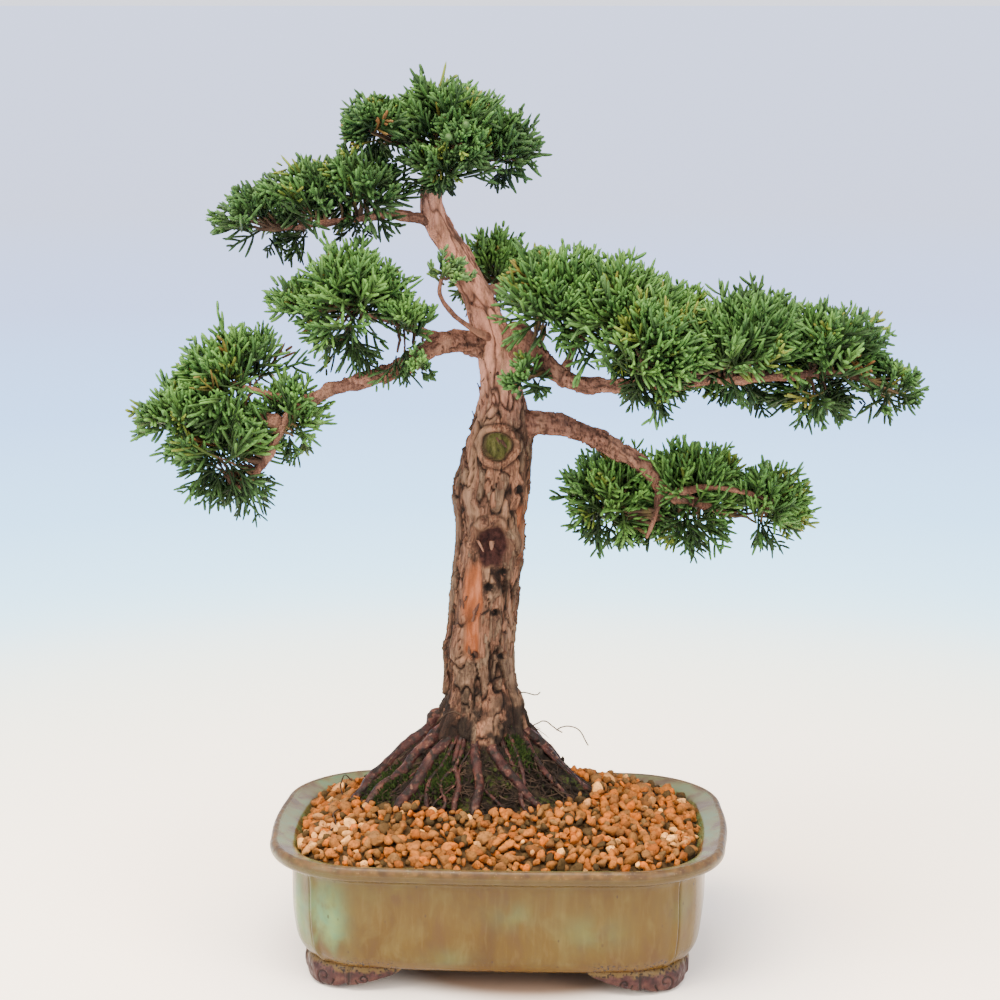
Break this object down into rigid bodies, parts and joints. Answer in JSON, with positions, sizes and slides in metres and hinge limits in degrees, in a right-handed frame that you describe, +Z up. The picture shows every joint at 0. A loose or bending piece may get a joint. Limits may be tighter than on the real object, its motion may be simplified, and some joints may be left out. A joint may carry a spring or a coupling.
{
  "type": "bonsai tree in a pot",
  "caption": "Juniper bonsai with layered foliage pads and spreading surface roots, planted in gravel in a soft-cornered glazed pot on low feet.",
  "frame": {"origin": "on the surface that the pot's feet stand on, under the middle of the whole plant's bounding box", "axes": "+Z up, +X to the right along the pot's long side, +Y away from the front of the pot"},
  "size_m": [0.332, 0.1516, 0.38],
  "materials": {
    "glaze": "satin",
    "bark": "matte",
    "foliage": "matte",
    "cone": "satin",
    "gravel": "matte",
    "soil": "matte",
    "moss": "matte",
    "mesh": "matte",
    "wire": "satin"
  },
  "bodies": {
    "root": {"pot": "glaze", "trunk": "bark", "branch_left": "bark", "branch_left_middle": "bark", "branch_right_low": "bark", "branch_right_main": "bark", "branch_back": "bark", "branch_upper_left": "bark", "twig_front": "bark", "foliage_apex": "foliage", "foliage_upper_left": "foliage", "foliage_left_middle": "foliage", "foliage_lower_left": "foliage", "foliage_right_inner": "foliage", "foliage_right_outer": "foliage", "foliage_lower_right": "foliage", "foliage_back": "foliage", "foliage_front": "foliage", "cone_upper": "cone", "cone_lower": "cone", "moss_front": "moss", "moss_left": "moss", "moss_right": "moss", "soil": "soil", "gravel": "gravel", "drain_screen_left": "mesh", "drain_screen_right": "mesh", "screen_clip_left": "wire", "screen_clip_right": "wire"}
  },
  "joints": []
}
